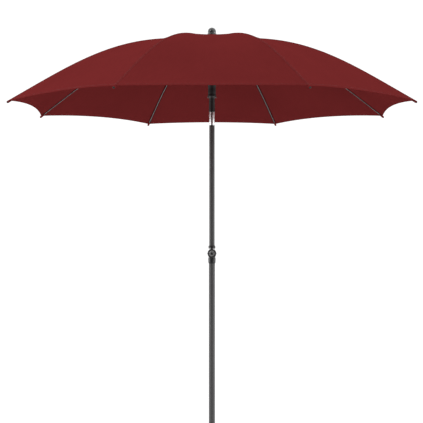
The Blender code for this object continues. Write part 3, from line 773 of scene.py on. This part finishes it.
def flare_tool(bottom, top, outer):
    """Widens the front of the fork's slot upwards, for the swing of the head."""
    bm = bmesh.new()
    front, back = -outer - 0.002, -outer + 0.0065
    narrow, wide, wide_back = 0.0012, 0.0068, 0.0019
    low = [bm.verts.new((x, front, bottom)) for x in (-narrow, narrow)]
    low_back = bm.verts.new((0, back, bottom))
    high = [bm.verts.new((x, front, top)) for x in (-wide, wide)]
    high_back = [bm.verts.new((x, back, top)) for x in (-wide_back, wide_back)]
    bm.faces.new((low[0], low[1], high[1], high[0]))
    bm.faces.new((low[1], low_back, high_back[1], high[1]))
    bm.faces.new((low_back, low[0], high[0], high_back[0]))
    bm.faces.new((low_back, high_back[0], high_back[1]))
    bm.faces.new((high[0], high[1], high_back[1], high_back[0]))
    bm.faces.new((low[0], low_back, low[1]))
    return object_from("tool", bm, "chrome")


def relief_tool(pivot):
    """Wedge that clears the head where it swings down behind the fork."""
    bm = bmesh.new()
    inner, outer, top = 0.0045, 0.0145, 0.0320
    corners = [(inner, 0.0262), (outer, 0.0220), (outer, top), (inner, top)]
    rings = [[bm.verts.new((x, y, pivot + z)) for y, z in corners] for x in (-REACH, REACH)]
    bridge(bm, rings, caps=(0, 1))
    return object_from("tool", bm, "chrome")


def sleeve():
    low, high = span("tilt_sleeve")
    outer = radius_of("tilt_sleeve")
    inner = outer - 0.0007
    bead = 0.0016
    corners = [
        (inner, low, 0),
        (outer, low, 0.0004),
        (outer, low + bead, 0.0003),
        (outer - 0.0004, low + bead * 1.5, 0.0003),
        (outer - 0.0004, high - bead * 1.5, 0.0003),
        (outer, high - bead, 0.0003),
        (outer, high, 0.0004),
        (inner, high, 0),
    ]
    body = turned("locking_sleeve", rounded(corners), "sleeve_plastic")
    place(body, "tilt_sleeve", "black_plastic", "tilt_sleeve")


def top_tube():
    """The head's tube, with a window for each arm of the catch."""
    tube = turned("head_tube", rounded(tube_outline("top_tube", 0.0003)), "pole_paint", 72)
    arm_low = span("catch_right")[0]
    bottom, top, half, inside = arm_low - 0.0005, arm_low + 0.0055, 0.0035, 0.009
    windows = [
        box_tool((-REACH, -half, bottom), (-inside, half, top)),
        box_tool((inside, -half, bottom), (REACH, half, top)),
    ]
    place(drill(tube, windows, 0.0002), "head", "pole_paint", "top_tube")


# --- runner, hub and finial ----------------------------------------------------------------


def runner():
    """A grip with three fine rings, and the flange with the stretchers' slots."""
    low, high = span("runner")
    flange = 0.031
    bore, grip, waist, rings = 0.0144, 0.0193, 0.0174, 0.0006
    top = high - 0.013
    bottom = top - 0.024
    corners = [
        (bore, low, 0.0003),
        (grip, low, 0.0005),
        (grip, low + 0.0050, 0.0012),
        (waist, low + 0.0100, 0.0014),
        (waist, low + 0.0150, 0),
        (waist + rings, low + 0.0165, 0.0005),
        (waist, low + 0.0180, 0),
        (waist + rings, low + 0.0215, 0.0005),
        (waist, low + 0.0230, 0),
        (waist + rings, low + 0.0265, 0.0005),
        (waist, low + 0.0280, 0),
        (waist, bottom - 0.010, 0.0020),
        (grip - 0.0005, bottom + 0.0040, 0.0010),
        (flange, bottom + 0.0085, 0.0010),
        (flange, top, 0.0010),
        (grip - 0.001, top, 0.0006),
        (waist, high, 0.0012),
        (bore, high, 0.0004),
    ]
    body = turned("runner_body", rounded(corners), "matt_plastic")
    tools = slot_tools(RUNNER_CORE, bottom - 0.002, top + 0.002)
    place(drill(body, tools, 0.0003), "runner", "black_plastic", "runner")


def hub():
    """The crown piece: slots for the ribs' eyes, and the wire ring that runs through them."""
    low, high = span("hub")
    pivot = on_rib(RIB_START).z
    tube = radius_of("top_tube") + GAP
    plate = span("top_tube")[1] + GAP
    outer, groove, stud_hole, wire = 0.029, 0.0015, 0.0044, 0.0011
    corners = [
        (tube, low, 0.0004),
        (outer - 0.002, low, 0.0010),
        (outer, low + 0.003, 0.0010),
        (outer, high, 0.0006),
        (HUB_PIVOT_R + groove, high, 0.0003),
        (HUB_PIVOT_R + groove, pivot - groove, 0.0006),
        (HUB_PIVOT_R - groove, pivot - groove, 0.0006),
        (HUB_PIVOT_R - groove, high, 0.0003),
        (stud_hole, high, 0.0004),
        (stud_hole, plate, 0),
        (tube, plate, 0),
    ]
    body = turned("hub_body", rounded(corners), "black_plastic")
    tools = slot_tools(HUB_CORE, low - 0.01, high + 0.01)
    place(drill(body, tools, 0.0003), "head", "black_plastic", "hub")
    circle = evenly(0, 2 * math.pi, 12)[:-1]
    outline = [(HUB_PIVOT_R + wire * math.cos(t), pivot + wire * math.sin(t)) for t in circle]
    place(turned("hub_wire", outline, "zinc_steel"), "head", "zinc_steel", "hub_ring")


def finial():
    """A polished ball that grows out of a round skirt."""
    low, high = span("finial")
    ball_r, skirt_r, stud_r = 0.0195, radius_of("finial"), 0.0040
    centre = high - ball_r
    base, skirt_top, edge = 2.1062, 2.1345, 0.0025
    start = math.asin((skirt_top - centre) / ball_r)
    turns = evenly(start, math.pi / 2, 30)[:-1]
    ball = [(ball_r * math.cos(t), centre + ball_r * math.sin(t)) for t in turns]
    skirt = [
        (skirt_r - edge, base, 0.0006),
        (skirt_r, base + edge, 0.0008),
        (skirt_r, skirt_top - edge, 0.0016),
        (ball[0][0] + 0.0003, skirt_top, 0.0004),
    ]
    stud = [(0, low), (stud_r - 0.0004, low), (stud_r, low + 0.0006), (stud_r, base)]
    outline = [*stud, *rounded([(stud_r, base, 0), *skirt, (*ball[1], 0)])[1:-1], *ball[1:], (0, high)]
    ball_cap = turned("finial_ball", outline, "finial_plastic", loop=False, smooth=40)
    place(ball_cap, "head", "finial_plastic", "finial")


# --- ribs and stretchers -------------------------------------------------------------------


def in_plane(bm, i):
    """Turns what was made in the XZ plane into the plane of rib i."""
    bm.transform(Matrix.Rotation(azimuth(i), 4, "Z"))


def rib(i):
    """A springy rod with the eye that turns on the hub's ring."""
    bm = bmesh.new()
    uv = bm.loops.layers.uv.new("along")
    pivot = Vector((HUB_PIVOT_R, 0, on_rib(RIB_START).z))
    in_eye = pivot + Vector((EYE_OVERLAP, 0, 0))
    path = [in_eye, *map(on_rib, evenly(RIB_START, RIB_END, 72))]
    tube_along(bm, path, RIB_ROD, uv)
    eye(bm, pivot, EYE_RADIUS, EYE_HOLE, EYE_THICK)
    in_plane(bm, i)
    piece = object_from(f"rib_rod_{i + 1}", bm, "rib_fibreglass")
    place(piece, f"rib_{i + 1}", "rib_fibreglass", f"rib_{i + 1}")


def to_rib_end(bm, i):
    """Moves what was made along Z to the end of rib i, where the caps begin."""
    direction = Vector((1, 0, -END_SLOPE)).normalized()
    turn = Vector((0, 0, 1)).rotation_difference(direction).to_matrix().to_4x4()
    clearance = direction * 0.0005
    bm.transform(Matrix.Translation(on_rib(CAD_HEM) + clearance) @ turn)
    in_plane(bm, i)


def tip_cap(i):
    """The cap on a rib's end: an open collar, a groove for the canopy's loop and a round nose."""
    length, outer, bore, bore_end, groove = 0.016, 0.0042, 0.0029, 0.0096, 0.0009
    corners = [
        (0, bore_end, 0),
        (bore, bore_end, 0),
        (bore, 0, 0.0002),
        (outer, 0, 0.0005),
        (outer, 0.0034, 0.0004),
        (outer - groove, 0.0042, 0.0003),
        (outer - groove, 0.0060, 0.0003),
        (outer, 0.0068, 0.0004),
        (outer, 0.0125, 0.0010),
        (outer * 0.72, length - 0.0008, 0.0010),
        (0, length, 0),
    ]
    bm = bmesh.new()
    lathe(bm, rounded(corners), 32, loop=False)
    to_rib_end(bm, i)
    piece = object_from(f"rib_cap_{i + 1}", bm, "black_plastic")
    place(piece, f"rib_{i + 1}", "black_plastic", f"rib_tip_{i + 1}")


def stretcher_ends():
    """Both pivots of a stretcher in its rib's plane, from the joint and the runner."""
    joint = next(j for j in frame["joints"] if j["name"] == "stretcher_1_fold")
    x, y, z = joint["pos_m"]
    outer = Vector((math.hypot(x, y), 0, z))
    return outer, Vector((RUNNER_PIVOT_R, 0, span("runner")[1] - RUNNER_PIVOT_DEPTH))


def stretcher(i):
    """A round rod with one end pressed flat for the bracket and an eye for the runner."""
    bm = bmesh.new()
    uv = bm.loops.layers.uv.new("along")
    outer, inner = stretcher_ends()
    run = inner - outer
    length = run.length
    path = [Vector((x, 0, 0)) for x in (TAB_END, TAB_END + 0.002, length / 2, length - EYE_OVERLAP)]
    tube_along(bm, path, STRETCHER_ROD, uv)
    flat_end(bm)
    for x, hole, thick in ((0, 0.0017, 0.0030), (length, 0.0013, 0.0038)):
        eye(bm, Vector((x, 0, 0)), STRETCHER_EYE, hole, thick)
    turn = Matrix.Rotation(-math.atan2(run.z, run.x), 4, "Y")
    bm.transform(Matrix.Translation(outer) @ turn)
    in_plane(bm, i)
    piece = object_from(f"stretcher_rod_{i + 1}", bm, "stretcher_rod")
    place(piece, f"stretcher_{i + 1}", "stretcher_rod", f"stretcher_{i + 1}")


def flat_end(bm):
    """The pressed tab between a stretcher's rod and its outer eye."""
    sections = [(0.0026, 0.0015, 0.0024), (0.009, 0.0015, 0.0023), (TAB_END + 0.0005, 0.0019, 0.0021)]
    sides = 16
    rings = []
    for x, half_y, half_z in sections:
        ring = []
        for k in range(sides):
            turn = 2 * math.pi * (k + 0.5) / sides
            y = half_y * math.copysign(abs(math.cos(turn)) ** 0.5, math.cos(turn))
            z = half_z * math.copysign(abs(math.sin(turn)) ** 0.5, math.sin(turn))
            ring.append(bm.verts.new((x, y, z)))
        rings.append(ring)
    bridge(bm, rings, caps=(0, -1))


# --- canopy --------------------------------------------------------------------------------


def gore_rows():
    """Shares of the way from crown to hem, closer together at the folded hem."""
    reach = HEM_RADIUS - CLOTH_START
    fold = HEM_WIDTH / reach
    rows = [(1 - fold) * k / GORE_ROWS for k in range(GORE_ROWS)]
    return rows + [1 - fold * part for part in (1, 0.9, 0.5, 0.08, 0)]


def half_panel(radius):
    """Half the width of a panel at this radius."""
    return radius * math.sin(2 * HALF_TURN) / 2


def strip_edge(radius):
    """Side value where the strip over a rib ends: it fits beside its neighbours when closed."""
    arm = cloth_point(radius, 0.0) - HUB_PIVOT
    closed = HUB_PIVOT.x + (Matrix.Rotation(RIB_TURN, 3, "Y") @ arm).x
    half = STRIP_FIT * closed * math.tan(HALF_TURN) - STRIP_GAP
    return min(1.0, half / half_panel(radius))


def fabric(name, i, columns):
    """Fabric of gore i over a grid. A column is a function that gives the side at a radius."""
    bm = bmesh.new()
    uv = bm.loops.layers.uv.new("weave")
    shares = gore_rows()
    hem_rows = range(len(shares) - 4, len(shares) - 1)
    grid = []
    for side_at in columns:
        line = []
        for k, share in enumerate(shares):
            radius = CLOTH_START + share * (HEM_RADIUS - CLOTH_START)
            for _ in range(6):  # side and hem depend on each other, and settle in a few rounds
                side = side_at(radius)
                radius = CLOTH_START + share * (hem(side, i) - CLOTH_START)
            point = cloth_point(radius, side, HEM_LIFT if k in hem_rows else 0.0)
            line.append((bm.verts.new(point), (radius, radius * side * math.sin(HALF_TURN))))
        grid.append(line)
    weave(bm, uv, grid)
    in_plane(bm, i)
    bmesh.ops.dissolve_degenerate(bm, dist=1e-6, edges=bm.edges)
    piece = object_from(name, bm, "cloth", 60)
    thicken(piece, CLOTH)
    return piece


def gore(i):
    """The panels' fabric that hangs on one rib, out to midway to each neighbour.

    A narrow strip stays flat over the rib when the canopy closes, and the flap on each side of
    it folds inwards as a pleat.
    """
    number = i + 1
    columns = [lambda radius, c=c: c * strip_edge(radius) for c in evenly(-1, 1, 2 * STRIP_COLUMNS)]
    strip = fabric(f"canopy_strip_{number}", i, columns)
    edge = strip_edge(HEM_RADIUS)
    sew_on(strip, hem_stitches(i, -edge, edge))
    rib_name = f"rib_{number}"
    place(strip, rib_name, "cloth", f"gore_{number}")
    for sign, side_name in ((-1, "right"), (1, "left")):
        columns = [
            lambda radius, c=c: sign * (strip_edge(radius) + (1 - strip_edge(radius)) * c)
            for c in evenly(0, 1, FLAP_COLUMNS)
        ]
        flap = fabric(f"canopy_flap_{number}_{side_name}", i, columns)
        sew_on(flap, hem_stitches(i, *sorted((sign * edge, sign * 1.0))))
        place(flap, rib_name, "cloth")
        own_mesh(flap)


def sew_on(piece, thread):
    """Makes rows of stitches part of the cloth that they run through."""
    piece.data.materials.append(LOOKS["thread"])
    bm = bmesh.new()
    bm.from_mesh(piece.data)
    cloth_faces = len(bm.faces)
    bm.from_mesh(thread.data)
    bm.faces.ensure_lookup_table()
    for face in bm.faces[cloth_faces:]:
        face.material_index = 1
    bm.to_mesh(piece.data)
    bm.free()
    bpy.data.objects.remove(thread)


def stitches(bm, line, up):
    """Adds short thread stitches along a line of points on cloth that faces up."""
    travelled = 0.0
    target = STITCH_STEP / 2
    for a, b in zip(line, line[1:]):
        step = (b - a).length
        while travelled + step >= target:
            middle = a.lerp(b, (target - travelled) / step)
            stitch(bm, middle, (b - a).normalized(), up)
            target += STITCH_STEP
        travelled += step


def stitch(bm, middle, along, up):
    """One stitch: a low six-sided thread loop end to end."""
    side = along.cross(up).normalized()
    half, wide, high, sides = STITCH / 2, 0.00045, 0.00035, 6
    rings = []
    for reach, size in ((-half, 0.35), (-half * 0.55, 1), (half * 0.55, 1), (half, 0.35)):
        centre = middle + along * reach
        ring = []
        for k in range(sides):
            turn = 2 * math.pi * k / sides
            offset = side * (wide * size * math.cos(turn)) + up * (high * size * math.sin(turn))
            ring.append(bm.verts.new(centre + offset))
        rings.append(ring)
    bridge(bm, rings, caps=(0, -1))


def beside_rib(radius, offset, lift):
    """A point this far sideways of the rib's line on the fabric, in metres."""
    return cloth_point(radius, offset / half_panel(radius), lift)


def band(name, look, i, radii, full_from, profile):
    """A narrow sheet along rib i with a profile of (offset, lift) points, full from a radius on."""
    bm = bmesh.new()
    uv = bm.loops.layers.uv.new("weave")
    rows = []
    for radius in radii:
        narrow = min(1.0, radius / full_from)
        points = [(beside_rib(radius, offset * narrow, lift), offset) for offset, lift in profile]
        rows.append([(bm.verts.new(point), (offset, radius)) for point, offset in points])
    weave(bm, uv, rows)
    in_plane(bm, i)
    piece = object_from(f"{name}_{i + 1}", bm, look, 60)
    thicken(piece, BAND)
    place(piece, f"rib_{i + 1}", "cloth")


def seam(i):
    """The felled seam over a rib: a raised band with a row of stitches on each side."""
    half = SEAM_WIDTH / 2
    rise = [(-1, 0.00005), (-0.9, 0.0006), (0, 0.0009), (0.9, 0.0006), (1, 0.00005)]
    profile = [(half * share, lift) for share, lift in rise]
    radii = evenly(SEAM_START, HEM_RADIUS - 0.001, 90)
    band("seam", "cloth", i, radii, SEAM_NARROWS, profile)
    bm = bmesh.new()
    row, on_top = SEAM_WIDTH * 0.32, 0.00085
    radii = evenly(SEAM_NARROWS, HEM_RADIUS - 0.005, 80)
    for offset in (-row, row):
        line = [beside_rib(radius, offset, on_top) for radius in radii]
        stitches(bm, line, Vector((0.3, 0, 0.95)))
    in_plane(bm, i)
    place(object_from(f"seam_stitches_{i + 1}", bm, "thread"), f"rib_{i + 1}", "cloth")


def inside_tape(i):
    """The tape that binds the seam's raw edges inside, between the fabric and the rib. Its darker wine is
    painted shade along both sides of the rib.
    """
    profile = [(offset, TAPE_LIFT) for offset in evenly(-TAPE_WIDTH / 2, TAPE_WIDTH / 2, 6)]
    radii = evenly(TAPE_START, HEM_RADIUS - 0.004, 80)
    band("inside_tape", "tape", i, radii, TAPE_START, profile)


def pocket(i):
    """The sewn pocket at the seam's end that holds the rib's cap, open towards the pole."""
    inner, wall, sides, flattest = 0.0045, 0.0006, 28, 0.7
    stations = [(-0.014, 0.55), (-0.008, 0.8), (-0.002, 0.97), (0.006, 1.0), (0.010, 1.0), (0.0128, 0.93)]
    bm = bmesh.new()
    uv = bm.loops.layers.uv.new("weave")
    rings = []
    for r, ends in ((inner, stations[::-1]), (inner + wall, stations)):
        for along, share in ends:
            ring = []
            for k in range(sides):
                turn = 2 * math.pi * k / sides
                point = (-r * max(share, flattest) * math.cos(turn), r * math.sin(turn), along)
                ring.append((bm.verts.new(point), (r * turn, along)))
            rings.append(ring)
    weave(bm, uv, rings + rings[:1], closed=True)
    to_rib_end(bm, i)
    piece = object_from(f"tip_pocket_{i + 1}", bm, "cloth", 60)
    place(piece, f"rib_{i + 1}", "cloth")


def hem_stitches(i, start, end):
    """The row of stitches that holds the folded hem, between two side values."""
    bm = bmesh.new()
    steps = max(4, round(40 * (end - start)))
    from_edge, on_top = HEM_WIDTH * 0.8, HEM_LIFT + 0.0002
    line = [cloth_point(hem(side, i) - from_edge, side, on_top) for side in evenly(start, end, steps)]
    stitches(bm, line, Vector((0.5, 0, 0.86)))
    in_plane(bm, i)
    return object_from(f"hem_stitches_{i + 1}", bm, "thread")


def crown_patch():
    """Round reinforcing patch under the finial, with its sewn edge."""
    radius, hole, over_lift, under_lift = radius_of("top_patch"), 0.0064, 0.0017, 0.0004
    radii = evenly(hole, radius, 22)
    over = [(r, CROWN_Z - fall(r) + over_lift) for r in radii]
    over[-1] = (radius, over[-1][1] - 0.0007)
    over.insert(-1, (radius - 0.0008, over[-2][1]))
    under = [(r, CROWN_Z - fall(r) + under_lift) for r in radii]
    patch = turned("crown_patch", under + over[::-1], "cloth", smooth=50)
    place(patch, "head", "cloth", "top_patch")
    bm = bmesh.new()
    ring = radius - 0.004
    height = CROWN_Z - fall(ring) + over_lift + 0.0001
    line = [Vector((ring * math.cos(t), ring * math.sin(t), height)) for t in evenly(0, 2 * math.pi, 120)]
    stitches(bm, line, Vector((0, 0, 1)))
    place(object_from("patch_stitches", bm, "thread"), "head", "cloth")


# --- CAD pieces that stay ------------------------------------------------------------------


def dress_cad():
    """Pieces whose CAD shape is right keep it, with soft edges and a finished material."""
    kept = {
        "clamp_nut": "zinc_steel",
        "clamp_screw": "zinc_steel",
        "guide_bush": "black_plastic",
        "tilt_pin": "zinc_steel",
        "tilt_tongue": "tongue",
        "catch_left": "dark_steel",
        "catch_right": "dark_steel",
    }
    kept.update({f"rib_bracket_{i + 1}": "black_plastic" for i in range(RIBS)})
    for node, look in kept.items():
        piece = frame["nodes"][node]
        piece.data.materials.clear()
        piece.data.materials.append(LOOKS[look])
        soften(piece, 0.0003, 40)


# --- stage ---------------------------------------------------------------------------------


def camera():
    data = bpy.data.cameras.new("camera")
    data.lens = FOCAL
    data.sensor_width = 36
    data.shift_x = SIDE_SHIFT
    data.shift_y = HORIZON_SHIFT
    eye_point = shown("camera", data)
    eye_point.location = (0, -CAMERA_DISTANCE, CAMERA_HEIGHT)
    eye_point.rotation_euler = (math.pi / 2, 0, 0)
    bpy.context.scene.camera = eye_point


def floor():
    bm = bmesh.new()
    bmesh.ops.create_circle(bm, cap_ends=True, segments=128, radius=FLOOR_RADIUS)
    mesh = bpy.data.meshes.new("floor")
    bm.to_mesh(mesh)
    bm.free()
    s = Shader("pale_floor", (0.72, 0.72, 0.72), 0.9)
    s.vary_colour(s.noise(s.place(), 6.0), 0.985, 1.015)
    mesh.materials.append(s.material)
    ground = shown("floor", mesh)
    ground.location = (0, 0, -0.0005)


def lamp(name, place_at, target, size, power):
    data = bpy.data.lights.new(name, "AREA")
    data.shape = "RECTANGLE"
    data.size, data.size_y = size
    data.energy = power
    lamp_object = shown(name, data)
    lamp_object.location = place_at
    aim = Vector(target) - Vector(place_at)
    lamp_object.rotation_euler = aim.to_track_quat("-Z", "Y").to_euler()


def lights():
    """A white studio all round, darker where the camera stands."""
    world = bpy.data.worlds.new("studio")
    world.use_nodes = True
    tree = world.node_tree
    background = tree.nodes["Background"]
    background.inputs["Strength"].default_value = STUDIO_LIGHT
    direction = tree.nodes.new("ShaderNodeTexCoord")
    facing = tree.nodes.new("ShaderNodeVectorMath")
    facing.operation = "DOT_PRODUCT"
    facing.inputs[1].default_value = BRIGHT_TOWARDS
    parts = tree.nodes.new("ShaderNodeSeparateXYZ")
    tree.links.new(direction.outputs["Generated"], parts.inputs["Vector"])
    tree.links.new(direction.outputs["Generated"], facing.inputs[0])
    shades = []
    for value_out, limits in ((facing.outputs["Value"], DARK_SIDE), (parts.outputs["Z"], DARK_BELOW)):
        shade = tree.nodes.new("ShaderNodeMapRange")
        shade.interpolation_type = "SMOOTHSTEP"
        for name, value in zip(("From Min", "From Max", "To Min", "To Max"), limits):
            shade.inputs[name].default_value = value
        tree.links.new(value_out, shade.inputs["Value"])
        shades.append(shade.outputs["Result"])
    both = tree.nodes.new("ShaderNodeMath")
    both.operation = "MULTIPLY"
    for shade, socket in zip(shades, both.inputs):
        tree.links.new(shade, socket)
    tree.links.new(both.outputs["Value"], background.inputs["Color"])
    bpy.context.scene.world = world
    bpy.context.scene.view_settings.view_transform = "Standard"
    lamp("left_key", (-1.75, -1.45, 3.3), (0, 0, 2.1), (0.9, 0.8), 8)
    lamp("left_strip", (-2.4, -0.4, 1.1), (0, 0, 1.4), (0.5, 1.5), 21)
    lamp("right_strip", (2.4, -0.4, 1.1), (0, 0, 1.4), (0.5, 1.5), 14)


def main():
    camera()
    floor()
    lights()
    pole_tubes()
    end_ring()
    foot_plug()
    clamp()
    knuckle()
    sleeve()
    top_tube()
    runner()
    hub()
    finial()
    for i in range(RIBS):
        rib(i)
        tip_cap(i)
        stretcher(i)
        gore(i)
        seam(i)
        inside_tape(i)
        pocket(i)
    crown_patch()
    dress_cad()


main()
